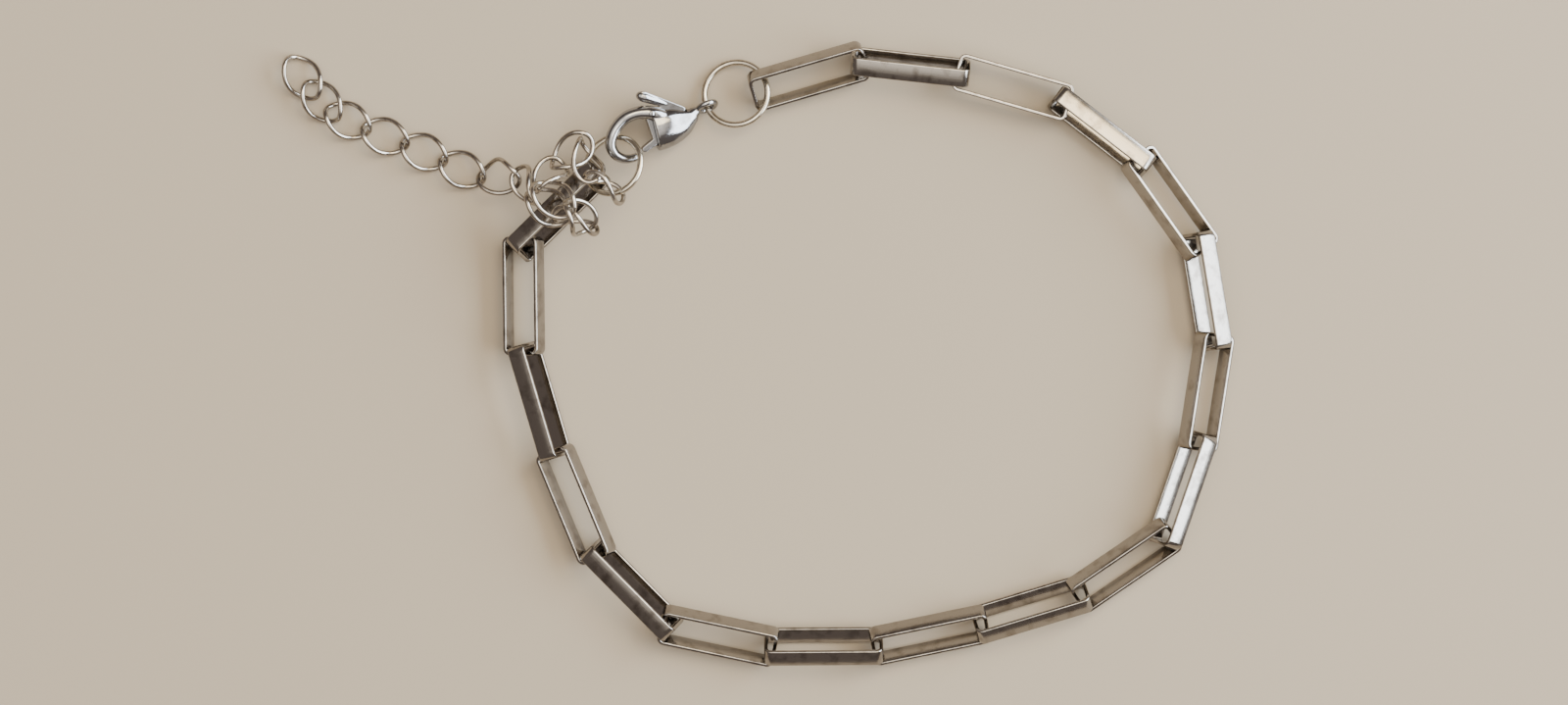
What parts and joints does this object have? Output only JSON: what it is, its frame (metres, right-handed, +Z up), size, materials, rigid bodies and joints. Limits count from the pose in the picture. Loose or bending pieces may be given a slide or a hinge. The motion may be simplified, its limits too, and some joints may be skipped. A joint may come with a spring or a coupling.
{
  "type": "paperclip chain bracelet",
  "caption": "Polished steel paperclip chain bracelet lying open, with a lobster clasp on jump rings and a tangled extension chain of small oval links.",
  "frame": {"origin": "middle of the bounding box in plan, at the height of the surface it lies on", "axes": "+Z up out of the surface, +X to the right and +Y to the top of the picture, which looks straight down"},
  "size_m": [0.0826, 0.0542, 0.0078],
  "materials": {
    "link_steel": "polished",
    "ring_steel": "polished",
    "clasp_steel": "mirror polished",
    "wire_steel": "polished"
  },
  "bodies": {
    "bracelet": {"box_link_01": "link_steel", "box_link_02": "link_steel", "box_link_03": "link_steel", "box_link_04": "link_steel", "box_link_05": "link_steel", "box_link_06": "link_steel", "box_link_07": "link_steel", "box_link_08": "link_steel", "box_link_09": "link_steel", "box_link_10": "link_steel", "box_link_11": "link_steel", "box_link_12": "link_steel", "box_link_13": "link_steel", "box_link_14": "link_steel", "box_link_15": "link_steel", "box_link_16": "link_steel", "box_link_17": "link_steel", "box_link_18": "link_steel", "clasp_ring": "ring_steel", "hook_ring": "ring_steel", "clasp_body": "clasp_steel", "clasp_pin": "clasp_steel", "ext_link_01": "wire_steel", "ext_link_02": "wire_steel", "ext_link_03": "wire_steel", "ext_link_04": "wire_steel", "ext_link_05": "wire_steel", "ext_link_06": "wire_steel", "ext_link_07": "wire_steel", "ext_link_08": "wire_steel", "ext_link_09": "wire_steel", "ext_link_10": "wire_steel", "ext_link_11": "wire_steel", "ext_link_12": "wire_steel", "ext_link_13": "wire_steel", "ext_link_14": "wire_steel", "ext_link_15": "wire_steel", "ext_link_16": "wire_steel"},
    "lever": {"clasp_lever": "clasp_steel"}
  },
  "joints": [
    {"name": "lever_hinge", "type": "hinge", "parent": "bracelet", "child": "lever", "pos_m": [-0.0094, 0.02086, 0.00243], "axis": [-0.3109, 0.1579, -0.9372], "range_deg": [0, 16], "stiffness_Nm_per_rad": 0.0005, "springref_deg": -20.05}
  ]
}
